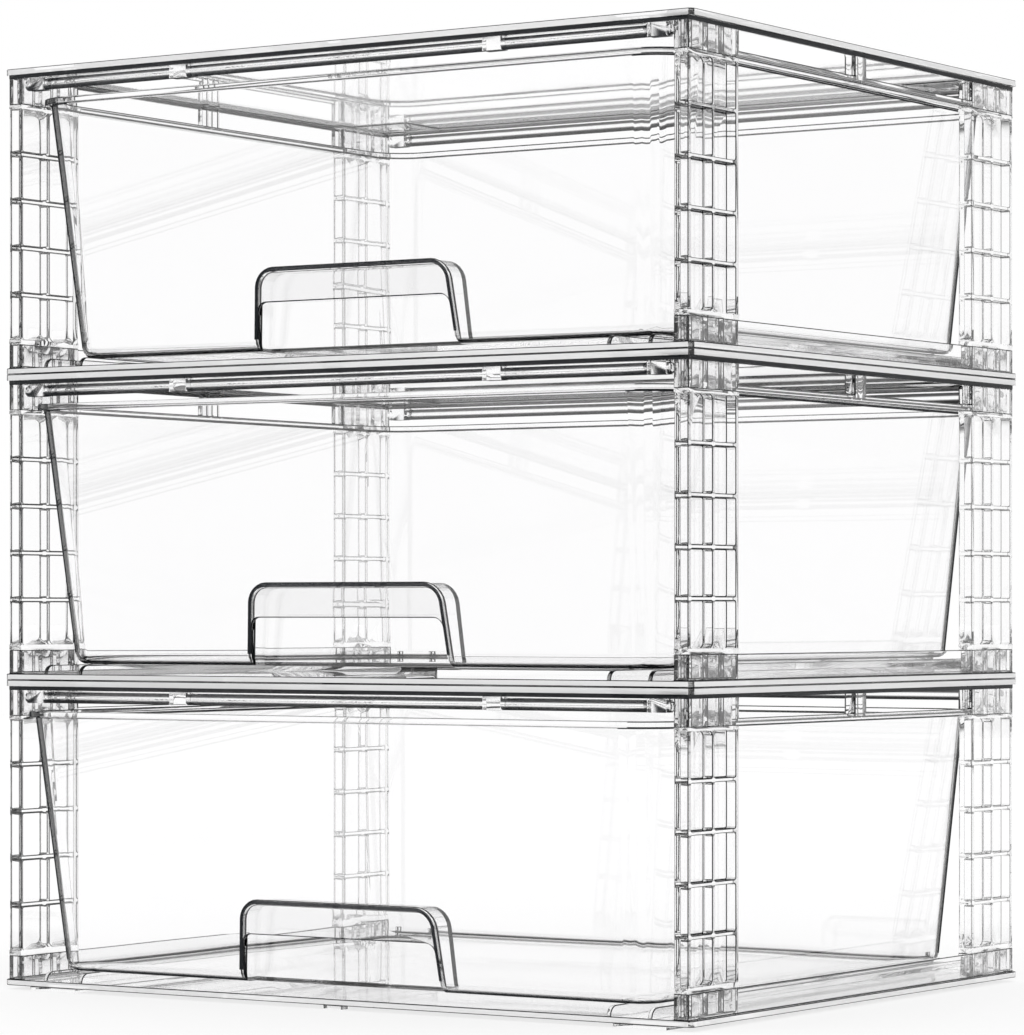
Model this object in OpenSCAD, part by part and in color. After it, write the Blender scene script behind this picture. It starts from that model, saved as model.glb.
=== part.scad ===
// Stack of three clear plastic drawer boxes. Each box is a base panel, a top panel, four plug-in corner posts and
// a one-piece drawer. The drawers pull out towards -Y. X = 0 and Y = 0 are the middle of the stack's outline, seen
// from above, and Z = 0 is the surface that the lowest box stands on.

/* [Box] */
// Width of one box, left to right
box_w = 400; // [380:5:420]
// Depth of one box, front to back
box_d = 320; // [300:5:340]
// Height that each box adds to the stack
pitch = 152; // [146:1:162]
// How far the lower drawer stands out of its closed place
lower_drawer_out = 12; // [0:0.5:20]
// How far the middle drawer stands out of its closed place
middle_drawer_out = 5.5; // [0:0.5:20]
// How far the upper drawer stands out of its closed place
upper_drawer_out = 0; // [0:0.5:20]

/* [Panels] */
// Thickness of a panel's flat sheet
sheet_t = 2.4; // [2.2:0.1:2.6]
// Height of the band round a panel's edge
edge_h = 3; // [2.8:0.1:3.4]
// Radius of a panel's corners, seen from above
panel_corner_r = 3; // [2:0.5:5]
// Thickness of skirts, side walls and rails
wall_t = 2.2; // [1.8:0.1:2.4]
// Thickness of the round bar under the top panel's front and back edges
roll_d = 5.6; // [5:0.1:6]
// Height of the feet
foot_h = 2; // [1.8:0.1:2.1]
// Side of a square foot
foot_w = 30; // [24:1:32]

/* [Posts] */
// Thickness of a post, seen from the front
post_t = 7.3; // [7:0.1:7.5]
// Depth of a post, seen from the side
post_d = 44.4; // [40:0.2:46]
// Thickness of a post's front and back flanges
flange_t = 2.4; // [2:0.1:3]
// Thickness of a post's cross ribs
rib_t = 1.8; // [1.4:0.1:2.4]
// Cross ribs between a post's two collars
ribs = 4; // [2:1:6]

/* [Drawer] */
// Thickness of the drawer's walls
tub_wall = 2; // [1.6:0.1:2.6]
// How far the front wall leans out from floor to rim
front_lean = 15; // [10:1:18]
// How far each side wall leans out from floor to rim
side_lean = 12.5; // [8:0.5:14]
// How far the rear wall leans out from floor to rim
rear_lean = 9.5; // [6:0.5:12]
// Radius of the drawer's corners at the rim, seen from above
tub_corner_r = 22; // [16:1:28]
// Radius of the edge between walls and floor
tub_edge_r = 6; // [5:0.5:8]
// Height of the rim's outer band
rim_h = 3; // [2.5:0.1:3.6]

/* [Finger pocket] */
// Half of the pocket's width at the drawer's floor
pocket_half_w = 58.6; // [45:0.2:75]
// How much each side of the pocket draws in from floor to ceiling
pocket_draft = 3.8; // [2:0.2:6]
// Height of the pocket's ceiling above the drawer's floor
pocket_h = 38; // [30:1:50]
// Height of the finger opening under the hanging lip
grip_h = 23.4; // [20:0.2:28]
// Depth of the pocket behind the front wall at the floor
pocket_depth = 11.5; // [10:0.5:16]

/* [Hidden] */
BOXES = ["lower", "middle", "upper"];
POSTS = [
    ["post_front_left", -1, -1],
    ["post_front_right", 1, -1],
    ["post_rear_left", -1, 1],
    ["post_rear_right", 1, 1],
];
PIECES = concat(["base_panel", "top_panel"], [for (p = POSTS) p[0]], ["drawer"]);

CLEAR = [0.86, 0.91, 0.94, 0.45];
$fn = 48;
hull_fn = 32;
lap = 0.4;              // how far a piece of a moulding runs into the one that carries it
cut = 1;                // how far a cutter runs past the face it opens

// Heights, measured from the underside of a box's base sheet
stack_gap = 0.1;
top_z = pitch - stack_gap;
edge_z = top_z - edge_h;
sheet_z = top_z - sheet_t;
skirt_h = 2;
skirt_z = edge_z - skirt_h;
sleeve_h = 14.8;        // from the mouth of a top sleeve to the panel's edge band
mouth_z = edge_z - sleeve_h;
mouth_band = 3.4;
low_sleeve_z = 14.8;
low_collar_h = 2.6;
high_collar_h = 1.8;
edge_band_w = 3;

// Plan of a corner: the sleeve stands in from the panel's side edge by side_inset, from its front by front_inset
side_inset = 2.5;
front_inset = 0.8;
collar_proud = 0.2;
sleeve_x = box_w / 2 - side_inset;
sleeve_y = box_d / 2 - front_inset;
sleeve_t = post_t + 2 * collar_proud;
sleeve_d = post_d + 2 * collar_proud;
sleeve_wall = 1.6;
plug_gap = 0.2;

// Round bars and their brackets
roll_gap = 0.7;         // between a bar and the skirt above it
roll_y = sleeve_y - roll_d / 2;
roll_z = skirt_z - roll_gap - roll_d / 2;
roll_half = sleeve_x - sleeve_t - roll_d / 2 - 0.8;
roll_web = 2;
bracket_w = 10;
bracket_x = [91.5, 180.8];

// Guide rails along the sides of the top panel
rail_depth = 6;
rail_floor = 1.6;
tie_w = 11;
tie_flange = 1.6;

// Feet and what the drawer slides on
foot_x = 171;
foot_y = box_d / 2 - 2 - foot_w / 2;
nub_w = 11;
nub_d = 6;
nub_y = box_d / 2 - 2 - nub_d / 2;
seat_gap = 0.6;
seat_h = foot_h - stack_gap;
seat_pad = 2;
runner_x = [154, 176];
runner_w = 2.2;
runner_top = 7.5;
runner_nose = 5;
runner_front = box_d / 2 - 3;
stop_y = 148;
stop_len = 4;
stop_h = 4.5;

// Drawer
floor_z = runner_top + 0.1;
rim_top = mouth_z + 2.6;
rim_half = sleeve_x - sleeve_t - 1.2;
rim_front = -box_d / 2 + 3.5;
rim_rear = box_d / 2 - 2.5;
rim_overhang = 2;
slice_t = 0.01;
drawer_out = [lower_drawer_out, middle_drawer_out, upper_drawer_out];
stack_y = max(0, max(drawer_out) - rim_front - box_d / 2) / 2;  // centres the outline behind a drawer that stands out

// Finger pocket
pocket_corner = 7.5;
grip_corner = 4.5;
lip_t = 2.2;
pocket_back_lean = 2.5;
ceiling_z = floor_z + pocket_h;
grip_z = floor_z + grip_h;

function mix(a, b, t) = a + (b - a) * t;
function rise(z) = (z - floor_z) / (rim_top - floor_z);
function tub_half_w(z) = rim_half - rim_overhang - side_lean * (1 - rise(z));
function tub_front(z) = rim_front + rim_overhang + front_lean * (1 - rise(z));
function tub_rear(z) = rim_rear - rim_overhang - rear_lean * (1 - rise(z));
function tub_corner(z) = tub_corner_r * mix(0.7, 1, rise(z));

// A rectangle with round corners, centred
module round_rect(w, d, r) {
    square([w - 2 * r, d], center = true);
    square([w, d - 2 * r], center = true);
    for (x = [-1, 1], y = [-1, 1])
        translate([x * (w / 2 - r), y * (d / 2 - r)])
            circle(r);
}

// Mirrors what stands at +X +Y to the corner of the given signs
module scale_sign(sx, sy) {
    mirror([sx < 0 ? 1 : 0, 0, 0])
        mirror([0, sy < 0 ? 1 : 0, 0])
            children();
}

// ---------- panels ----------

// Flat sheet with a deeper band round its edge. The sheet is the lowest part, and the band stands up from it
module edged_sheet() {
    difference() {
        linear_extrude(edge_h)
            round_rect(box_w, box_d, panel_corner_r);
        translate([0, 0, sheet_t])
            linear_extrude(edge_h)
                round_rect(box_w - 2 * edge_band_w, box_d - 2 * edge_band_w, panel_corner_r);
    }
}

// Wall of a sleeve that a post's plug enters, standing on z = 0 at the +X +Y corner with its mouth at z = h
module sleeve(h) {
    difference() {
        translate([sleeve_x - sleeve_t, sleeve_y - sleeve_d, 0])
            cube([sleeve_t, sleeve_d, h]);
        translate([sleeve_x - sleeve_t + sleeve_wall, sleeve_y - sleeve_d + sleeve_wall, sleeve_wall])
            cube([sleeve_t - 2 * sleeve_wall, sleeve_d - 2 * sleeve_wall, h]);
    }
}

// Round bar under the front edge, with round ends, the web that carries it and brackets at the given places
module front_roll(brackets) {
    translate([0, -roll_y, roll_z]) {
        rotate([0, 90, 0])
            cylinder(d = roll_d, h = 2 * roll_half, center = true);
        for (x = [-roll_half, roll_half])
            translate([x, 0, 0])
                sphere(d = roll_d);
        translate([-roll_half, -roll_web / 2, 0])
            cube([2 * roll_half, roll_web, sheet_z + lap - roll_z]);
    }
    for (sx = [-1, 1], x = brackets)
        translate([sx * x - bracket_w / 2, -roll_y - roll_d / 2, roll_z - roll_d / 2])
            cube([bracket_w, roll_d + 0.6, sheet_z + lap - roll_z + roll_d / 2]);
}

// Guide rail that joins the front and rear sleeves of one side, with the tie that hangs it from the sheet
module side_rail() {
    span = 2 * (sleeve_y - sleeve_d) + 2 * lap;
    translate([sleeve_x - rail_depth, -span / 2, mouth_z])
        cube([rail_depth, span, rail_floor]);
    translate([sleeve_x - wall_t, -span / 2, mouth_z])
        cube([wall_t, span, mouth_band]);
    translate([sleeve_x - wall_t, -tie_w / 2, mouth_z])
        cube([wall_t, tie_w, sheet_z + lap - mouth_z]);
    for (y = [-tie_w / 2, tie_w / 2 - tie_flange])
        translate([sleeve_x - rail_depth, y, mouth_z])
            cube([rail_depth, tie_flange, sheet_z + lap - mouth_z]);
}

// Shallow seats in the top sheet for the feet of the box above
module foot_seats() {
    side = foot_w + 2 * seat_gap;
    for (sx = [-1, 1], sy = [-1, 1])
        translate([sx * foot_x - side / 2, sy * foot_y - side / 2, top_z - seat_h])
            cube([side, side, seat_h + cut]);
    translate([-nub_w / 2 - seat_gap, -nub_y - nub_d / 2 - seat_gap, top_z - seat_h])
        cube([nub_w + 2 * seat_gap, nub_d + 2 * seat_gap, seat_h + cut]);
}

// Pads that keep the sheet's thickness under the foot seats
module seat_pads() {
    side = foot_w + 2 * seat_gap + 2 * seat_pad;
    for (sx = [-1, 1], sy = [-1, 1])
        translate([sx * foot_x - side / 2, sy * foot_y - side / 2 - sy * seat_pad, edge_z])
            cube([side, side, sheet_z + lap - edge_z]);
    translate([-nub_w / 2 - seat_pad, -nub_y - nub_d / 2, edge_z])
        cube([nub_w + 2 * seat_pad, nub_d + 2 * seat_pad, sheet_z + lap - edge_z]);
}

// Skirt that steps in under the edge band
module skirt() {
    depth = 2 * sleeve_y;
    width = 2 * sleeve_x;
    translate([0, 0, skirt_z])
        linear_extrude(sheet_z + lap - skirt_z)
            difference() {
                round_rect(width, depth, panel_corner_r);
                round_rect(width - 2 * sleeve_wall, depth - 2 * sleeve_wall, 1);
            }
}

module top_panel() {
    color(CLEAR)
        difference() {
            union() {
                translate([0, 0, top_z])
                    mirror([0, 0, 1])
                        edged_sheet();
                skirt();
                seat_pads();
                for (sx = [-1, 1], sy = [-1, 1])
                    scale_sign(sx, sy)
                        translate([0, 0, sheet_z + lap])
                            mirror([0, 0, 1])
                                sleeve(sheet_z + lap - mouth_z);
                for (sx = [-1, 1])
                    scale_sign(sx, 1)
                        side_rail();
                front_roll(bracket_x);
                mirror([0, 1, 0])
                    front_roll([bracket_x[1]]);
            }
            foot_seats();
        }
}

// Rib that carries the drawer, with a round nose at the front and an upturned stop at the rear
module runner() {
    height = runner_top - sheet_t + lap;
    rotate([90, 0, 90])
        linear_extrude(runner_w, center = true)
            translate([-runner_front, sheet_t - lap]) {
                translate([runner_nose, height - runner_nose])
                    intersection() {
                        circle(runner_nose);
                        translate([-runner_nose, runner_nose - height])
                            square([2 * runner_nose, height]);
                    }
                translate([runner_nose, 0])
                    square([runner_front + stop_y + stop_len - runner_nose, height]);
                translate([runner_front + stop_y, 0])
                    square([stop_len, height + stop_h]);
            }
}

module feet() {
    for (sx = [-1, 1], sy = [-1, 1])
        translate([sx * foot_x, sy * foot_y, -foot_h])
            linear_extrude(foot_h + lap)
                round_rect(foot_w, foot_w, 2);
    translate([0, -nub_y, -foot_h])
        linear_extrude(foot_h + lap)
            round_rect(nub_w, nub_d, 1);
}

module base_panel() {
    wall_half = sleeve_y - sleeve_d + lap;
    color(CLEAR) {
        edged_sheet();
        feet();
        for (sx = [-1, 1], sy = [-1, 1])
            scale_sign(sx, sy)
                translate([0, 0, sheet_t - lap])
                    sleeve(low_sleeve_z - sheet_t + lap);
        for (sx = [-1, 1])
            scale_sign(sx, 1)
                translate([sleeve_x - wall_t, -wall_half, sheet_t - lap])
                    cube([wall_t, 2 * wall_half, low_sleeve_z - sheet_t + lap]);
        for (sx = [-1, 1], x = runner_x)
            translate([sx * x, 0, 0])
                runner();
    }
}

// ---------- post ----------

post_x = sleeve_x - collar_proud;
post_y = sleeve_y - collar_proud;
low_bay_z = low_sleeve_z + low_collar_h;
high_bay_z = mouth_z - high_collar_h;
bay_h = (high_bay_z - low_bay_z - ribs * rib_t) / (ribs + 1);
bay_w = (post_d - 2 * flange_t - rib_t) / 2;
bay_depth = post_t - wall_t;
bay_corner = 1.2;
flare_r = 4;
prong_y = [0.16, 0.5, 0.84];
prong_d = 8;

// Fills the corner between two walls with a concave curve of radius r
module flare(r) {
    difference() {
        square(r);
        translate([r, r])
            circle(r);
    }
}

// The open pockets of a post, cut in from its outer face
module bays() {
    first_y = post_y - post_d + flange_t;
    for (column = [0, 1], row = [0:ribs])
        translate([post_x - bay_depth, first_y + column * (bay_w + rib_t), low_bay_z + row * (bay_h + rib_t)])
            rotate([90, 0, 90])
                linear_extrude(bay_depth + cut)
                    translate([bay_w / 2, bay_h / 2])
                        round_rect(bay_w, bay_h, bay_corner);
}

// The middle rib spreads where it runs into the collars
module rib_flares() {
    middle = post_y - post_d / 2;
    for (side = [-1, 1], end = [0, 1])
        translate([post_x - bay_depth - lap, middle + side * (rib_t / 2 - lap), end == 0 ? low_bay_z : high_bay_z])
            mirror([0, 0, end])
                mirror([0, side < 0 ? 1 : 0, 0])
                    rotate([90, 0, 90])
                        linear_extrude(bay_depth + lap)
                            flare(flare_r);
}

// Three flat prongs on a web that fill a sleeve from z = 0 up to z = h
module plug(h) {
    t = sleeve_t - 2 * (sleeve_wall + plug_gap);
    d = sleeve_d - 2 * (sleeve_wall + plug_gap);
    x = sleeve_x - sleeve_wall - plug_gap - t;
    y = sleeve_y - sleeve_wall - plug_gap - d;
    web_t = 1.4;
    translate([x, y, 0])
        cube([web_t, d, h]);
    for (at = prong_y)
        translate([x, y + at * d - prong_d / 2, 0])
            cube([t, prong_d, h]);
}

module collar(h) {
    translate([sleeve_x - sleeve_t, sleeve_y - sleeve_d, 0])
        cube([sleeve_t, sleeve_d, h]);
}

module post(sx, sy) {
    low_plug_z = sheet_t - lap + sleeve_wall + plug_gap;
    high_plug_z = sheet_z + lap - sleeve_wall - plug_gap;
    color(CLEAR)
        scale_sign(sx, sy) {
            difference() {
                translate([post_x - post_t, post_y - post_d, low_sleeve_z])
                    cube([post_t, post_d, mouth_z - low_sleeve_z]);
                bays();
            }
            rib_flares();
            translate([0, 0, low_sleeve_z])
                collar(low_collar_h);
            translate([0, 0, high_bay_z])
                collar(high_collar_h);
            translate([0, 0, low_plug_z])
                plug(low_sleeve_z + lap - low_plug_z);
            translate([0, 0, mouth_z - lap])
                plug(high_plug_z - mouth_z + lap);
        }
}

// ---------- drawer ----------

// Thin slice of the tub's outline at height z, drawn in by inset all round
module tub_slice(z, inset) {
    front = tub_front(z) + inset;
    rear = tub_rear(z) - inset;
    translate([0, (front + rear) / 2, z])
        linear_extrude(slice_t)
            round_rect(2 * (tub_half_w(z) - inset), rear - front, tub_corner(z) - inset, $fn = hull_fn);
}

// Leaning walls from a rounded bottom edge up to z1. inset 0 is the outside, tub_wall the inside
module tub(inset, z0, z1, edge_r) {
    hull() {
        for (a = [0:30:90])
            tub_slice(z0 + edge_r * (1 - cos(a)), inset + edge_r * (1 - sin(a)));
        tub_slice(z1 - slice_t, inset);
    }
}

module rim() {
    translate([0, (rim_front + rim_rear) / 2, rim_top - rim_h])
        linear_extrude(rim_h)
            round_rect(2 * rim_half, rim_rear - rim_front, tub_corner_r + rim_overhang);
}

// Upright outline of the pocket, seen from the front: sides that draw in towards a ceiling with round corners
module arch(top, corner, grow) {
    low = floor_z - tub_edge_r;
    half = pocket_half_w + grow;
    draw_in = pocket_draft * (top - low) / pocket_h;
    offset(r = corner, $fn = hull_fn)
        offset(delta = -corner)
            polygon([
                [-half, low],
                [half, low],
                [half - draw_in, top],
                [-half + draw_in, top],
            ]);
}

// Arch pushed through the front wall, between two leaning planes given by how far they stand behind its outside
module behind_front(front_gap, back_gap, back_lean, top) {
    low = floor_z - tub_edge_r - cut;
    high = top + cut;
    intersection() {
        rotate([90, 0, 0])
            linear_extrude(box_d, center = true)
                children();
        rotate([90, 0, 90])
            linear_extrude(box_w, center = true)
                polygon([
                    [tub_front(low) + front_gap, low],
                    [tub_front(floor_z) + back_gap, low],
                    [tub_front(floor_z) + back_gap - back_lean, high],
                    [tub_front(high) + front_gap, high],
                ]);
    }
}

// The hollow that fingers enter from below and hook behind the lip
module pocket_hollow() {
    behind_front(lip_t, pocket_depth, pocket_back_lean, ceiling_z)
        arch(ceiling_z, pocket_corner, 0);
    behind_front(-2 * tub_edge_r, lip_t + lap, 0, grip_z)
        arch(grip_z, grip_corner, 0);
}

// The pocket's own walls, standing inside the tub
module pocket_wall() {
    behind_front(0, pocket_depth + tub_wall, pocket_back_lean, ceiling_z + tub_wall)
        arch(ceiling_z + tub_wall, pocket_corner + tub_wall, tub_wall);
}

module drawer() {
    color(CLEAR)
        difference() {
            union() {
                tub(0, floor_z, rim_top, tub_edge_r);
                rim();
            }
            difference() {
                tub(tub_wall, floor_z + tub_wall, rim_top + cut, tub_edge_r - tub_wall);
                pocket_wall();
            }
            pocket_hollow();
        }
}

for (i = [0:len(BOXES) - 1])
    translate([0, stack_y, foot_h + i * pitch]) {
        base_panel();
        top_panel();
        for (p = POSTS)
            post(p[1], p[2]);
        translate([0, -drawer_out[i], 0]) drawer();
    }
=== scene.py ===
import math

import bpy
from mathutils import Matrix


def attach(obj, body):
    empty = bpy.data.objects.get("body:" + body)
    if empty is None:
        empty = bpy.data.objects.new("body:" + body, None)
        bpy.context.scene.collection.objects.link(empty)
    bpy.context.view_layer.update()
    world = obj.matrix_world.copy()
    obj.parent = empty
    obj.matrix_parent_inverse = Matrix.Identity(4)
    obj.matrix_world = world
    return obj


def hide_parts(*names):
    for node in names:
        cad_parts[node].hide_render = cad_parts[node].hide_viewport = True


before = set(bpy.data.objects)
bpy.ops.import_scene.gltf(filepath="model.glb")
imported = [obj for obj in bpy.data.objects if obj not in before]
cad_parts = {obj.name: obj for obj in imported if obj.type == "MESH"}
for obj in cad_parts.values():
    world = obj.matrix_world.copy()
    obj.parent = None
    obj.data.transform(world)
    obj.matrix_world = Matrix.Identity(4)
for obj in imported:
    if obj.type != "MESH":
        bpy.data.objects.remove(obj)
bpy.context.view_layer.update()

MM = 0.001
BOXES = ["lower", "middle", "upper"]
FRONT_POSTS = ["post_front_left", "post_front_right"]
REAR_POSTS = ["post_rear_left", "post_rear_right"]

# ---------- sizes that several sections need, in metres ----------

FOOT = 2 * MM
PITCH = 152 * MM
STACK_Y = 4.25 * MM

# The drawer's heights are above the feet. Its floor stands a hair above the runners, so that no clear faces touch.
WALL = 2 * MM
FLOOR_Z = 7.65 * MM
POCKET_HALF = 58.6 * MM
POCKET_START_Z = FLOOR_Z - 7 * MM
POCKET_DRAFT = 0.1
POCKET_IN_R = 7.5 * MM
POCKET_OUT_R = POCKET_IN_R + WALL
CEILING_Z = FLOOR_Z + 38 * MM

# A place is on a plane if it is within NEAR of it. A face faces a way if more than TOWARDS of its normal points there,
# and faces aside from it if less than ASIDE does. An edge runs along an axis if more than ALONG of it does.
NEAR = 0.1 * MM
TOWARDS = 0.9
ASIDE = 0.3
ALONG = 0.5


# ---------- shader maths ----------

class Value:
    """A shader socket that takes plain arithmetic."""

    def __init__(self, graph, socket):
        self.graph, self.socket = graph, socket

    def maths(self, operation, *others):
        return self.graph.node("ShaderNodeMath", {"operation": operation}, self, *others)

    def __add__(self, other):
        return self.maths("ADD", other)

    def __mul__(self, other):
        return self.maths("MULTIPLY", other)

    __rmul__ = __mul__

    def __sub__(self, other):
        return self.maths("SUBTRACT", other)

    def __rsub__(self, other):
        return self.graph.node("ShaderNodeMath", {"operation": "SUBTRACT"}, other, self)

    def __abs__(self):
        return self.maths("ABSOLUTE")

    def at_least(self, other):
        return self.maths("MAXIMUM", other)

    def above(self, low, high):
        """0 below low, 1 above high, smooth between."""
        settings = {"interpolation_type": "SMOOTHSTEP"}
        return self.graph.node("ShaderNodeMapRange", settings, self, low, high, 0.0, 1.0)

    def below(self, low, high):
        return 1 - self.above(low, high)


class Graph:
    """The node tree of a material or a world."""

    def __init__(self, owner):
        owner.use_nodes = True
        self.tree = owner.node_tree
        self.tree.nodes.clear()

    def node(self, kind, settings=None, *values, output=0, **named):
        """Adds a node: its settings first, then values or links for its sockets, by place or by name."""
        made = self.tree.nodes.new(kind)
        for name, setting in (settings or {}).items():
            setattr(made, name, setting)
        places = [(made.inputs[i], value) for i, value in enumerate(values)]
        places += [(made.inputs[name.replace("_", " ")], value) for name, value in named.items()]
        for socket, value in places:
            if isinstance(value, Value):
                self.tree.links.new(value.socket, socket)
            else:
                socket.default_value = value
        return Value(self, made.outputs[output]) if len(made.outputs) else None


# ---------- clear plastic, with painted shade and painted light ---

def pocket_wall(graph, place):
    """1 where the wall of the finger pocket meets the drawer's front from behind, else 0. The drawer's front paints a
    dark ring of shade there.
    """
    x = abs(graph.node("ShaderNodeSeparateXYZ", {}, place, output="X"))
    z = graph.node("ShaderNodeSeparateXYZ", {}, place, output="Z").maths("MODULO", PITCH) - FOOT
    radius = (POCKET_IN_R + POCKET_OUT_R) / 2
    side = x + (z - POCKET_START_Z) * POCKET_DRAFT - (POCKET_HALF + WALL / 2)
    rise = z - (CEILING_Z + WALL / 2)
    across = (side + radius).at_least(0)
    up = (rise + radius).at_least(0)
    off_middle = abs((across * across + up * up).maths("SQRT") - radius)
    return off_middle.below(WALL / 2 - NEAR, WALL / 2)


PLASTIC_IOR = 1.54
PLASTIC_COLOUR = (0.999, 0.998, 1.0)
CLOUD_SCALE, CLOUDING, HAZE = 34.0, 0.01, 0.004
RIPPLE_SCALE, RIPPLE_STRENGTH, RIPPLE_DEPTH = 9.0, 0.05, 0.6 * MM
# The dark matt colour mixed over the plastic as painted shade, and how strongly a wall seen end on behind the skin is
# painted with it
PAINTED_SHADE_COLOUR = (0.02, 0.022, 0.025, 1)
WALL_BEHIND_DARK = 0.95

# Between these values painted shade sets in or ends. UPRIGHT_TO is on the level part of a normal, from 0 on an
# upright wall to 1 on a plate. The others are on how far a skin turns away, from 0 face on to 1 edge on.
UPRIGHT_TO = (0.35, 0.75)
TURNED_FROM, TURNED_TO = (0.232, 0.25), (0.45, 0.75)
BENT_FROM = (0.6, 0.75)


def clear_plastic(name, tint_and_painted_shade=0.995, turn_dark=0.0, bend_dark=0.0, lean_dark=0.0, lean=(0.5, 0.9), painted_light_milkiness=0.0,
                  shade=0.0, wall_behind=None):
    """Clear polished plastic, with shade painted in by a dark matt surface mixed over it: where light turns back
    inside an upright wall (turn_dark), on an upright bend as it turns away (bend_dark), on a skin that leans towards
    level between two limits (lean_dark), all over (shade) and in a wall seen end on through the skin (wall_behind).
    A colour darker than the default paints shade too, and milkiness paints light."""
    material = bpy.data.materials.new(name)
    graph = Graph(material)
    place = graph.node("ShaderNodeTexCoord", output="Object")
    ripple = graph.node("ShaderNodeTexNoise", {}, Vector=place, Scale=RIPPLE_SCALE, Detail=2.0)
    cloud = graph.node("ShaderNodeTexNoise", {}, Vector=place, Scale=CLOUD_SCALE, Detail=3.0)
    bump = graph.node("ShaderNodeBump", {}, Strength=RIPPLE_STRENGTH, Distance=RIPPLE_DEPTH,
                      Height=ripple)
    # Below the default, the tint darkens the colour as painted shade; the clouding is the plastic's own
    lit = tint_and_painted_shade * (1 - cloud * CLOUDING)
    colour = graph.node("ShaderNodeCombineColor", {}, *[lit * part for part in PLASTIC_COLOUR])
    # Milkiness turns part of the clear transmission into milky white: painted light
    plastic = graph.node("ShaderNodeBsdfPrincipled", {}, Base_Color=colour, Roughness=cloud * HAZE,
                         IOR=PLASTIC_IOR, Transmission_Weight=1.0 - painted_light_milkiness, Normal=bump)
    # A dark matt surface, mixed in below as painted shade
    dark = graph.node("ShaderNodeBsdfPrincipled", {}, Base_Color=PAINTED_SHADE_COLOUR, Roughness=0.6, Specular_IOR_Level=0.0)
    inside = graph.node("ShaderNodeNewGeometry", output="Backfacing")
    normal = graph.node("ShaderNodeNewGeometry", output="Normal")
    level = abs(graph.node("ShaderNodeSeparateXYZ", {}, normal, output="Z"))
    upright = level.below(*UPRIGHT_TO)
    facing = graph.node("ShaderNodeLayerWeight", {}, Blend=0.5, output="Facing")
    turned = inside * upright * facing.above(*TURNED_FROM) * facing.below(*TURNED_TO)
    bent = (1 - inside) * upright * facing.above(*BENT_FROM)
    leaning = (1 - inside) * level.above(*lean)
    # Painted shade: the mask says where the dark matt surface is mixed over the plastic
    mask = (turned * turn_dark).at_least(bent * bend_dark).at_least(leaning * lean_dark).at_least(shade)
    if wall_behind:
        mask = mask.at_least(wall_behind(graph, place) * WALL_BEHIND_DARK)
    surface = graph.node("ShaderNodeMixShader", {}, mask, plastic, dark)
    graph.node("ShaderNodeOutputMaterial", {}, surface)
    return material


# Each plastic below paints shade where its dark settings are above 0; the band's milkiness paints light instead
PANEL_PLASTIC = clear_plastic("panel_plastic", turn_dark=0.15)
# Nearly black panel edges: painted shade for the dark lines clear edges show
PANEL_EDGE_SHADE = clear_plastic("panel_edge_painted_shade", tint_and_painted_shade=0.004, turn_dark=0.5, shade=0.5)
# Partly milky outer band: painted light for the light grey the clear band shows
BAND_PAINTED_LIGHT = clear_plastic("band_painted_light", painted_light_milkiness=0.7)
# Dark skirt band: painted shade
SKIRT_PAINTED_SHADE = clear_plastic("skirt_painted_shade", tint_and_painted_shade=0.01, turn_dark=0.9, shade=0.75)
# Dark upper and lower bands on the rolls, light in the middle: painted shade
BAR_PAINTED_SHADE = clear_plastic("bar_painted_shade", lean_dark=0.9, lean=(0.15, 0.5))
POST_PLASTIC = clear_plastic("post_plastic", turn_dark=0.15)
# Nearly black post edges and ribs: painted shade
POST_EDGE_SHADE = clear_plastic("post_edge_painted_shade", tint_and_painted_shade=0.004, turn_dark=0.5, shade=0.7)
REAR_POST_PLASTIC = clear_plastic("rear_post_plastic", turn_dark=0.05)
# Darkened rear post edges: painted shade
REAR_POST_EDGE_SHADE = clear_plastic("rear_post_edge_painted_shade", tint_and_painted_shade=0.2, turn_dark=0.5)
DRAWER_PLASTIC = clear_plastic("drawer_plastic", turn_dark=0.9, bend_dark=0.95)
# Nearly black drawer edges and pocket walls: painted shade
DRAWER_EDGE_SHADE = clear_plastic("drawer_edge_painted_shade", tint_and_painted_shade=0.004, turn_dark=0.95, shade=0.8)
# Darker bottom bend: painted shade
DRAWER_BEND_SHADE = clear_plastic("drawer_bend_painted_shade", turn_dark=0.9, lean_dark=0.95, lean=(0.6, 0.8))
# Grey lip face: painted shade
LIP_PAINTED_SHADE = clear_plastic("lip_painted_shade", tint_and_painted_shade=0.85, turn_dark=0.9)
# Dark ring on the front where the pocket's wall meets it: painted shade
FRONT_PAINTED_SHADE = clear_plastic("drawer_front_painted_shade", turn_dark=0.9, bend_dark=0.95, wall_behind=pocket_wall)


# ---------- shaping ----------

MERGE_DISTANCE, FLAT_ANGLE = 2e-6, math.radians(0.5)
SHARP_ANGLE, SMOOTH_ANGLE = math.radians(35), math.radians(47)


def only(piece):
    """Selects a piece and nothing else, and makes it the one being worked on."""
    bpy.ops.object.select_all(action="DESELECT")
    piece.select_set(True)
    bpy.context.view_layer.objects.active = piece


def apply_all(piece):
    """Applies a piece's modifiers in their order."""
    only(piece)
    for modifier in list(piece.modifiers):
        bpy.ops.object.modifier_apply(modifier=modifier.name)


def block(name, low, high):
    """A box between two corners."""
    middle = [(a + b) / 2 for a, b in zip(low, high)]
    bpy.ops.object.select_all(action="DESELECT")
    bpy.ops.mesh.primitive_cube_add(size=1, location=middle, scale=[b - a for a, b in zip(low, high)])
    piece = bpy.context.object
    piece.name = name
    bpy.ops.object.transform_apply(location=True, rotation=True, scale=True)
    return piece


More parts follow.
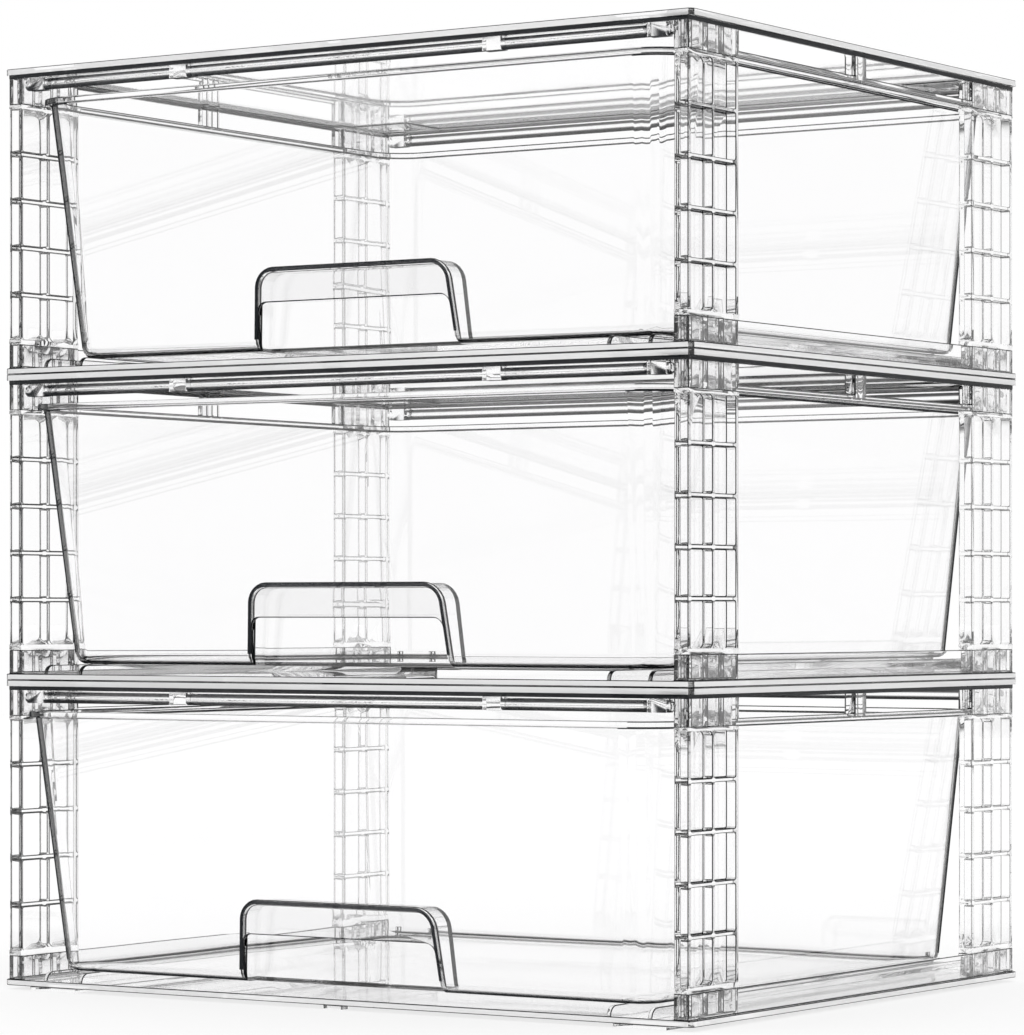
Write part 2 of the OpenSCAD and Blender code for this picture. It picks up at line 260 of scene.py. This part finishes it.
def pick_faces(piece, test):
    """Opens a piece for shaping, with the faces selected whose middle and normal pass the test."""
    only(piece)
    bpy.ops.object.mode_set(mode="EDIT")
    bpy.ops.mesh.select_mode(type="FACE")
    bpy.ops.mesh.select_all(action="DESELECT")
    bpy.ops.object.mode_set(mode="OBJECT")
    for face in piece.data.polygons:
        face.select = bool(test(face.center, face.normal))
    bpy.ops.object.mode_set(mode="EDIT")


def pick_edges(piece, test):
    """Opens a piece for shaping, with the edges selected whose middle, direction and ends pass the test."""
    only(piece)
    bpy.ops.object.mode_set(mode="EDIT")
    bpy.ops.mesh.select_mode(type="EDGE")
    bpy.ops.mesh.select_all(action="DESELECT")
    bpy.ops.object.mode_set(mode="OBJECT")
    points = piece.data.vertices
    for edge in piece.data.edges:
        start, end = (points[i].co for i in edge.vertices)
        edge.select = bool(test((start + end) / 2, (end - start).normalized(), tuple(edge.vertices)))
    bpy.ops.object.mode_set(mode="EDIT")


def pick_points(piece, test):
    """Opens a piece for shaping, with the points selected whose place passes the test."""
    only(piece)
    bpy.ops.object.mode_set(mode="EDIT")
    bpy.ops.mesh.select_mode(type="VERT")
    bpy.ops.mesh.select_all(action="DESELECT")
    bpy.ops.object.mode_set(mode="OBJECT")
    for point in piece.data.vertices:
        point.select = bool(test(point.co))
    bpy.ops.object.mode_set(mode="EDIT")


def round_edges(piece, radius, steps, test):
    """Rounds the edges that pass the test."""
    pick_edges(piece, test)
    bpy.ops.mesh.bevel(offset=radius, segments=steps, affect="EDGES", clamp_overlap=False)
    bpy.ops.object.mode_set(mode="OBJECT")


def reshape_face(piece, test, old, new):
    """Moves a face that spans the old X and Y limits so that it spans the new ones."""
    (old_x0, old_x1, old_y0, old_y1), (x0, x1, y0, y1) = old, new
    pick_faces(piece, test)
    stretch = ((x1 - x0) / (old_x1 - old_x0), (y1 - y0) / (old_y1 - old_y0), 1)
    middle = ((old_x0 + old_x1) / 2, (old_y0 + old_y1) / 2, 0)
    bpy.ops.transform.resize(value=stretch, center_override=middle)
    bpy.ops.transform.translate(value=((x0 + x1 - old_x0 - old_x1) / 2, (y0 + y1 - old_y0 - old_y1) / 2, 0))
    bpy.ops.object.mode_set(mode="OBJECT")


def cut_out(piece, other):
    """Cuts the form of another piece out of a piece. The other is used up."""
    tool = piece.modifiers.new("cut", "BOOLEAN")
    tool.operation = "DIFFERENCE"
    tool.solver = "EXACT"
    tool.object = other
    apply_all(piece)
    bpy.data.objects.remove(other)


def slice_along(piece, place, across):
    """Cuts the faces of a piece along a plane."""
    only(piece)
    bpy.ops.object.mode_set(mode="EDIT")
    bpy.ops.mesh.select_all(action="SELECT")
    bpy.ops.mesh.bisect(plane_co=place, plane_no=across)
    bpy.ops.object.mode_set(mode="OBJECT")


def slice_flats(piece, planes):
    """Cuts the faces of a piece along square planes, so that no face goes round a hole. planes are (axis, place)."""
    for axis, place in planes:
        across = [1.0 if i == axis else 0.0 for i in range(3)]
        slice_along(piece, [a * place for a in across], across)


def soften(piece, plastic, edge_plastic, width, spared=lambda at: False):
    """Rounds the sharp edges a little, in a plastic of their own, and evens the shading of the flats. The edge
    plastics that callers pass are darkened as painted shade.
    """
    piece.data.materials.clear()
    piece.data.materials.append(plastic)
    piece.data.materials.append(edge_plastic)
    pick_edges(piece, lambda at, along, ends: False)
    bpy.ops.mesh.edges_select_sharp(sharpness=SHARP_ANGLE)
    bpy.ops.object.mode_set(mode="OBJECT")
    sharp = {tuple(edge.vertices) for edge in piece.data.edges if edge.select}
    pick_edges(piece, lambda at, along, ends: ends in sharp and not spared(at))
    bpy.ops.mesh.bevel(offset=width, segments=2, affect="EDGES", clamp_overlap=False, material=1)
    bpy.ops.object.mode_set(mode="OBJECT")
    shading = piece.modifiers.new("even shading", "WEIGHTED_NORMAL")
    shading.weight = 100
    shading.keep_sharp = True
    only(piece)
    bpy.ops.object.shade_smooth_by_angle(angle=SMOOTH_ANGLE)
    apply_all(piece)


# ---------- panels and posts ----------

# Heights and places in the lower box, with X and Y from the middle of the box
PANEL_X, PANEL_Y = 200 * MM, 160 * MM
PLATE_Z, BASE_EDGE_Z = FOOT + 2.4 * MM, FOOT + 3 * MM
SKIRT_X, SKIRT_Y = 197.5 * MM, 159.2 * MM
SKIRT_Z, EDGE_Z = FOOT + 146.9 * MM, FOOT + 148.9 * MM
HOLE_X = [154 * MM, 171 * MM, 176 * MM, 193 * MM]

# The rolls under the front and rear of the top panel. Edges within BAR_REACH of a roll stay sharp, and the facets of
# its skin have their middles between the BAR_SKIN distances from its axis.
BAR_R, BAR_HALF = 2.8 * MM, 186.2 * MM
BAR_Y, BAR_Z = 156.4 * MM, FOOT + 143.4 * MM
BAR_REACH = 4 * MM
BAR_SKIN = (0.96 * BAR_R, 1.01 * BAR_R)

# The posts, between the sleeves of the two panels
POST_X, POST_Y = 193.65 * MM, 136.8 * MM
LOW_SLEEVE_TOP, MOUTH_Z = FOOT + 14.8 * MM, FOOT + 134.1 * MM
LOW_COLLAR_TOP, HIGH_COLLAR_Z = FOOT + 17.4 * MM, FOOT + 132.3 * MM
BAY_START, BAY_STEP, BAY_SIDE = 28.17 * MM, 23.34 * MM, 10.45 * MM
BAY_ROWS = [FOOT + BAY_START + BAY_STEP * i for i in range(5)]
BAY_COLUMNS = [-BAY_SIDE, 0, BAY_SIDE]
PLUG_SHRINK = (0.98, 0.996, 0.999)

PANEL_EDGE_WIDTH = 0.4 * MM
FRONT_POST_EDGE_WIDTH = 0.35 * MM
REAR_POST_EDGE_WIDTH = 0.3 * MM


def moulding(kind):
    """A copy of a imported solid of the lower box, with merged faces."""
    piece = bpy.data.objects.new(kind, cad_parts["lower_" + kind].data.copy())
    bpy.context.scene.collection.objects.link(piece)
    only(piece)
    bpy.ops.object.mode_set(mode="EDIT")
    bpy.ops.mesh.select_all(action="SELECT")
    bpy.ops.mesh.remove_doubles(threshold=MERGE_DISTANCE)
    bpy.ops.mesh.dissolve_limited(angle_limit=FLAT_ANGLE)
    bpy.ops.object.mode_set(mode="OBJECT")
    return piece


def stack(pattern, kind, body, out=(0, 0, 0)):
    """Puts a copy of a finished pattern in each box, drawn out to the front by its own amount."""
    for i, box in enumerate(BOXES):
        piece = bpy.data.objects.new(f"{box}_{kind}_look", pattern.data.copy())
        bpy.context.scene.collection.objects.link(piece)
        only(piece)
        piece.location = (0, -out[i], i * PITCH)
        bpy.ops.object.transform_apply(location=True, rotation=False, scale=False)
        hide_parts(f"{box}_{kind}")
        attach(piece, f"{box}_{body}")
    bpy.data.objects.remove(pattern)


def paint(piece, plastic, test):
    """Gives a plastic to the faces whose middle and normal pass the test."""
    piece.data.materials.append(plastic)
    for face in piece.data.polygons:
        if test(face.center, face.normal):
            face.material_index = len(piece.data.materials) - 1


def slice_panel(piece):
    """Cuts a panel's flats through its middle and beside its corner holes."""
    slice_flats(piece, [(0, side * x) for side in (-1, 1) for x in HOLE_X] + [(1, STACK_Y), (0, 0)])


def at_outline(at, x, y):
    """Whether a place lies on or past a panel's outline of half width x and half depth y."""
    return abs(at.x) > x - NEAR or abs(at.y - STACK_Y) > y - NEAR


def make_top():
    piece = moulding("top_panel")
    slice_panel(piece)
    slice_flats(piece, [(2, SKIRT_Z)])

    # Edges stay sharp where steps are smaller than the rounding: beside the rolls, and where the skirt meets the edge
    def by_bar(at):
        across = abs(at.x) < BAR_HALF + BAR_R and abs(at.y - STACK_Y) > BAR_Y - BAR_REACH
        return across and BAR_Z - BAR_REACH < at.z < SKIRT_Z + MM

    def spared(at):
        return by_bar(at) or SKIRT_Z - NEAR < at.z < EDGE_Z + NEAR

    def on_bar(at, normal):
        off_axis = math.hypot(abs(at.y - STACK_Y) - BAR_Y, at.z - BAR_Z)
        return BAR_SKIN[0] < off_axis < BAR_SKIN[1] and abs(at.x) < BAR_HALF + BAR_R

    def on_skirt(at, normal):
        return SKIRT_Z - NEAR < at.z < EDGE_Z and abs(normal.z) < ASIDE and at_outline(at, SKIRT_X, SKIRT_Y)

    def on_band(at, normal):
        return abs(normal.z) < ASIDE and at.z > EDGE_Z and at_outline(at, PANEL_X, PANEL_Y)

    # The rounded edges are nearly black, painted shade. Painted shade also darkens the skirt band and the rolls' upper
    # and lower bands; the outer band is made partly milky, painted light that reads light grey.
    soften(piece, PANEL_PLASTIC, PANEL_EDGE_SHADE, PANEL_EDGE_WIDTH, spared)
    paint(piece, SKIRT_PAINTED_SHADE, on_skirt)
    paint(piece, BAR_PAINTED_SHADE, on_bar)
    paint(piece, BAND_PAINTED_LIGHT, on_band)
    return piece


def make_base():
    piece = moulding("base_panel")
    slice_panel(piece)

    # Edges stay sharp on the feet, and where walls stand on the plate
    def spared(at):
        return at.z < FOOT - NEAR or abs(at.z - PLATE_Z) < NEAR

    def on_band(at, normal):
        return abs(normal.z) < ASIDE and FOOT < at.z < BASE_EDGE_Z and at_outline(at, PANEL_X, PANEL_Y)

    # The rounded edges are nearly black, painted shade; the outer band is made partly milky, painted light
    soften(piece, PANEL_PLASTIC, PANEL_EDGE_SHADE, PANEL_EDGE_WIDTH, spared)
    paint(piece, BAND_PAINTED_LIGHT, on_band)
    return piece


def make_post(kind, plastic, edge_plastic, width):
    piece = moulding(kind)
    # Any point of the post tells which corner of the box it stands in
    first = piece.data.vertices[0].co
    x, y = math.copysign(POST_X, first.x), STACK_Y + math.copysign(POST_Y, first.y)
    slice_flats(piece, [(1, y + column) for column in BAY_COLUMNS] + [(2, row) for row in BAY_ROWS])
    # The ends shrink by a hair, so that a film of air lies between post and sleeve
    pick_points(piece, lambda at: not LOW_SLEEVE_TOP + NEAR < at.z < MOUTH_Z - NEAR)
    bpy.ops.transform.resize(value=PLUG_SHRINK, center_override=(x, y, BAY_ROWS[2]))
    bpy.ops.object.mode_set(mode="OBJECT")

    # The collars' steps are smaller than the rounding, so their edges stay sharp
    def on_collar(at):
        low = LOW_SLEEVE_TOP - MM < at.z < LOW_COLLAR_TOP + NEAR
        return low or HIGH_COLLAR_Z - NEAR < at.z < MOUTH_Z + MM

    def on_rib(at, normal):
        return LOW_COLLAR_TOP + MM < at.z < HIGH_COLLAR_Z - MM and abs(normal.z) > TOWARDS

    # The rounded edges and the ribs' level faces are painted dark in the edge plastic: painted shade for their lines
    soften(piece, plastic, edge_plastic, width, on_collar)
    paint(piece, edge_plastic, on_rib)
    return piece


stack(make_top(), "top_panel", "box")
stack(make_base(), "base_panel", "box")
for post in FRONT_POSTS:
    stack(make_post(post, POST_PLASTIC, POST_EDGE_SHADE, FRONT_POST_EDGE_WIDTH), post, "box")
for post in REAR_POSTS:
    stack(make_post(post, REAR_POST_PLASTIC, REAR_POST_EDGE_SHADE, REAR_POST_EDGE_WIDTH), post, "box")


# ---------- drawer ----------

RIM_TOP = 136.7 * MM
RIM_H = 3 * MM
RIM_OUT = 2 * MM
RIM_HALF = 188.6 * MM
RIM_FRONT, RIM_REAR = -156.5 * MM, 157.5 * MM
FRONT_LEAN, SIDE_LEAN, REAR_LEAN = 15 * MM, 12.5 * MM, 9.5 * MM
RIM_CORNER_R = 22 * MM
CORNER_NARROWING = 0.3
BOTTOM_R = 6 * MM
CORNER_STEPS, BOTTOM_STEPS, POCKET_STEPS = 8, 4, 6

# The finger pocket: a hollow behind a hanging lip, with an opening below the lip. Its depths are measured from the
# outside of the front wall.
LIP = 2.2 * MM
GRIP_Z = FLOOR_Z + 23.4 * MM
GRIP_R = 4.5 * MM
POCKET_DEPTH = 11.5 * MM
POCKET_BACK_LEAN = 2.5 * MM
OPENING_FRONT, OPENING_BACK = -12 * MM, LIP + 0.4 * MM

# The pocket's own walls get painted shade, in the drawer's nearly black edge plastic,
# from the inside of the front wall to this far behind the lip
RING = 1.6 * MM
DRAWER_EDGE_WIDTH = 0.5 * MM

# A face of the bottom bend has the Z part of its normal between these
BEND_LEAN = (0.15, 0.98)

# Planes through the tub's middle and the pocket, so that no face goes round the pocket
FLAT_CUTS = [(0, 0), (2, CEILING_Z - 3 * MM), (2, GRIP_Z - 6 * MM)]

# How far the lower, middle and upper drawer stand out in the photo
DRAWN_OUT = (12 * MM, 5.5 * MM, 0)


def tub_outline(z, inset):
    """X and Y limits of the tub's leaning walls at a height."""
    down = (RIM_TOP - z) / (RIM_TOP - FLOOR_Z)
    half = RIM_HALF - RIM_OUT - SIDE_LEAN * down - inset
    return -half, half, RIM_FRONT + RIM_OUT + FRONT_LEAN * down + inset, RIM_REAR - RIM_OUT - REAR_LEAN * down - inset


def corner_radius(z):
    """Radius of the tub's corners at a height."""
    return RIM_CORNER_R * (1 - CORNER_NARROWING * (RIM_TOP - z) / (RIM_TOP - FLOOR_Z))


def tub_block(name, inset, z0, z1):
    """Solid with the tub's leaning walls and round corners that widen towards the rim, drawn in by inset."""
    top, bottom = tub_outline(z1, inset), tub_outline(z0, inset)
    top_r, bottom_r = corner_radius(z1) - inset, corner_radius(z0) - inset
    piece = block(name, (bottom[0], bottom[2], z0), (bottom[1], bottom[3], z1))
    round_edges(piece, bottom_r, CORNER_STEPS, lambda at, along, ends: abs(along.z) > ALONG)
    # Each corner of the top moves out to the leaning outline as a whole, so that its arc stays round
    for side, x_in in ((0, 1), (1, -1)):
        for end, y_in in ((2, 1), (3, -1)):
            old = (bottom[side] + x_in * bottom_r, bottom[end] + y_in * bottom_r, z1)
            new = (top[side] + x_in * top_r, top[end] + y_in * top_r, z1)
            pick_points(piece, lambda at: at.z > z1 - MM and at.x * x_in < 0 and (at.y - old[1]) * y_in < MM)
            bpy.ops.transform.resize(value=(top_r / bottom_r, top_r / bottom_r, 1), center_override=old)
            bpy.ops.transform.translate(value=[n - o for n, o in zip(new, old)])
            bpy.ops.object.mode_set(mode="OBJECT")
    round_edges(piece, BOTTOM_R - inset, BOTTOM_STEPS, lambda at, along, ends: at.z < z0 + NEAR)
    return piece


def is_top(at, normal):
    return normal.z > TOWARDS


def arch_block(name, z1, half, round_top, front_gap, back_y, back_lean):
    """Solid with the pocket's outline, from a plane front_gap behind the front wall's outside to a leaning back."""
    z0 = POCKET_START_Z
    front0, front1 = tub_outline(z0, 0)[2] + front_gap, tub_outline(z1, 0)[2] + front_gap
    narrow = half - POCKET_DRAFT * (z1 - z0)
    piece = block(name, (-half, front0, z0), (half, back_y, z1))
    reshape_face(piece, is_top, (-half, half, front0, back_y), (-narrow, narrow, front1, back_y - back_lean))
    round_edges(piece, round_top, POCKET_STEPS, lambda at, along, ends: abs(along.y) > ALONG and at.z > z1 - MM)
    return piece


def full_tub():
    """The tub before it is hollowed out, with its rim."""
    band_z = RIM_TOP - RIM_H
    tub = tub_block("drawer", 0, FLOOR_Z, band_z)
    x0, x1, y0, y1 = tub_outline(band_z, 0)
    pick_faces(tub, is_top)
    bpy.ops.mesh.extrude_region_move(TRANSFORM_OT_translate={"value": (0, 0, 0)})
    stretch = (2 * RIM_HALF / (x1 - x0), (RIM_REAR - RIM_FRONT) / (y1 - y0), 1)
    bpy.ops.transform.resize(value=stretch, center_override=(0, (y0 + y1) / 2, band_z))
    bpy.ops.transform.translate(value=(0, (RIM_FRONT + RIM_REAR - y0 - y1) / 2, 0))
    bpy.ops.mesh.extrude_region_move(TRANSFORM_OT_translate={"value": (0, 0, RIM_H)})
    bpy.ops.object.mode_set(mode="OBJECT")
    return tub


def make_drawer():
    tub = full_tub()
    front = tub_outline(FLOOR_Z, 0)[2]
    back = front + POCKET_DEPTH
    cavity = tub_block("cavity", WALL, FLOOR_Z + WALL, RIM_TOP + MM)
    walls = arch_block("pocket_walls", CEILING_Z + WALL, POCKET_HALF + WALL, POCKET_OUT_R, 0, back + WALL,
                       POCKET_BACK_LEAN)
    hollow = arch_block("hollow", CEILING_Z, POCKET_HALF, POCKET_IN_R, LIP, back, POCKET_BACK_LEAN)
    opening = arch_block("opening", GRIP_Z, POCKET_HALF, GRIP_R, OPENING_FRONT, front + OPENING_BACK, 0)
    cut_out(cavity, walls)
    for form in (cavity, hollow, opening):
        cut_out(tub, form)
    lean = FRONT_LEAN / (RIM_TOP - FLOOR_Z)
    slice_flats(tub, FLAT_CUTS)
    slice_along(tub, (0, front + LIP + RING, FLOOR_Z), (0, 1, lean))

    def depth(at):
        """How far a place of the pocket lies behind the outside of the front wall, or -1 away from the pocket."""
        near = abs(at.x) < POCKET_HALF + WALL + MM and at.z < CEILING_Z + WALL + MM and at.y < back + WALL + MM
        return at.y + lean * (at.z - FLOOR_Z) - front if near else -1

    def on_ring(at, normal):
        return WALL < depth(at) < LIP + RING and abs(normal.y) < ASIDE

    def on_lip(at, normal):
        return abs(depth(at) - LIP) < NEAR and normal.y > TOWARDS

    def on_front(at, normal):
        return normal.y < -TOWARDS and at.y < front + NEAR

    def on_bend(at, normal):
        return at.z < FLOOR_Z + BOTTOM_R and BEND_LEAN[0] < abs(normal.z) < BEND_LEAN[1]

    # Deep in the pocket the edges stay sharp
    soften(tub, DRAWER_PLASTIC, DRAWER_EDGE_SHADE, DRAWER_EDGE_WIDTH, lambda at: depth(at) > LIP + RING + MM)
    # Painted shade: a dark ring on the front where the pocket's wall meets it, a darker bottom bend, a grey lip face
    # and dark pocket walls
    paint(tub, FRONT_PAINTED_SHADE, on_front)
    paint(tub, DRAWER_BEND_SHADE, on_bend)
    paint(tub, LIP_PAINTED_SHADE, on_lip)
    paint(tub, DRAWER_EDGE_SHADE, on_ring)
    tub.location = (0, STACK_Y, FOOT)
    only(tub)
    bpy.ops.object.transform_apply(location=True, rotation=False, scale=False)
    return tub


stack(make_drawer(), "drawer", "drawer", DRAWN_OUT)


# ---------- camera ----------

# The photo's camera is level and stands to the right of the front. Its picture is shifted up.
TURN = math.radians(33.569)
PHOTO_W = 1024
FOCAL_PX = 4272.6
SENSOR_W = 36
SHIFT_UP = 0.0908
CAMERA_X, CAMERA_Y, CAMERA_Z = 1.1876, -1.7936 + STACK_Y, 0.1865 + FOOT
camera = bpy.data.objects.new("camera", bpy.data.cameras.new("camera"))
bpy.context.scene.collection.objects.link(camera)
bpy.context.scene.camera = camera
camera.data.sensor_fit = "HORIZONTAL"
camera.data.sensor_width = SENSOR_W
camera.data.lens = FOCAL_PX * SENSOR_W / PHOTO_W
camera.data.shift_y = SHIFT_UP
camera.data.clip_end = 20
camera.location = (CAMERA_X, CAMERA_Y, CAMERA_Z)
camera.rotation_euler = (math.pi / 2, 0, TURN)

# ---------- light ----------

# A white studio. Seen through the plastic its top and bottom are dim, which draws the plastic's grey lines.
DIM_FROM = (0.25, 0.6)
DIMMING = 0.85
FLOOR_SIZE = 8
FLOOR_GREY = (0.3, 0.3, 0.3, 1)
FLOOR_GLOW = (0.75, 0.75, 0.75, 1)
CLEAR_BOUNCES, MATT_BOUNCES = 48, 3

world = bpy.data.worlds.new("studio")
bpy.context.scene.world = world
graph = Graph(world)
towards = graph.node("ShaderNodeTexCoord", output="Generated")
height = abs(graph.node("ShaderNodeSeparateXYZ", {}, towards, output="Z"))
side_light = 1 - height.above(*DIM_FROM) * DIMMING
seen = graph.node("ShaderNodeLightPath", output="Is Camera Ray")
lights_floor = graph.node("ShaderNodeLightPath", output="Is Diffuse Ray")
brightness = side_light.at_least(seen).at_least(lights_floor)
graph.node("ShaderNodeOutputWorld", {}, graph.node("ShaderNodeBackground", {}, brightness, 1.0))

bpy.ops.mesh.primitive_plane_add(size=FLOOR_SIZE, location=(0, 0, 0))
floor = bpy.context.object
floor.name = "floor"
paper = bpy.data.materials.new("floor_paper")
graph = Graph(paper)
matt = graph.node("ShaderNodeBsdfDiffuse", {}, FLOOR_GREY)
glow = graph.node("ShaderNodeEmission", {}, FLOOR_GLOW, 1.0)
graph.node("ShaderNodeOutputMaterial", {}, graph.node("ShaderNodeAddShader", {}, matt, glow))
floor.data.materials.append(paper)

scene = bpy.context.scene
scene.view_settings.view_transform = "Standard"
scene.cycles.max_bounces = CLEAR_BOUNCES
scene.cycles.transmission_bounces = CLEAR_BOUNCES
scene.cycles.glossy_bounces = CLEAR_BOUNCES
scene.cycles.diffuse_bounces = MATT_BOUNCES
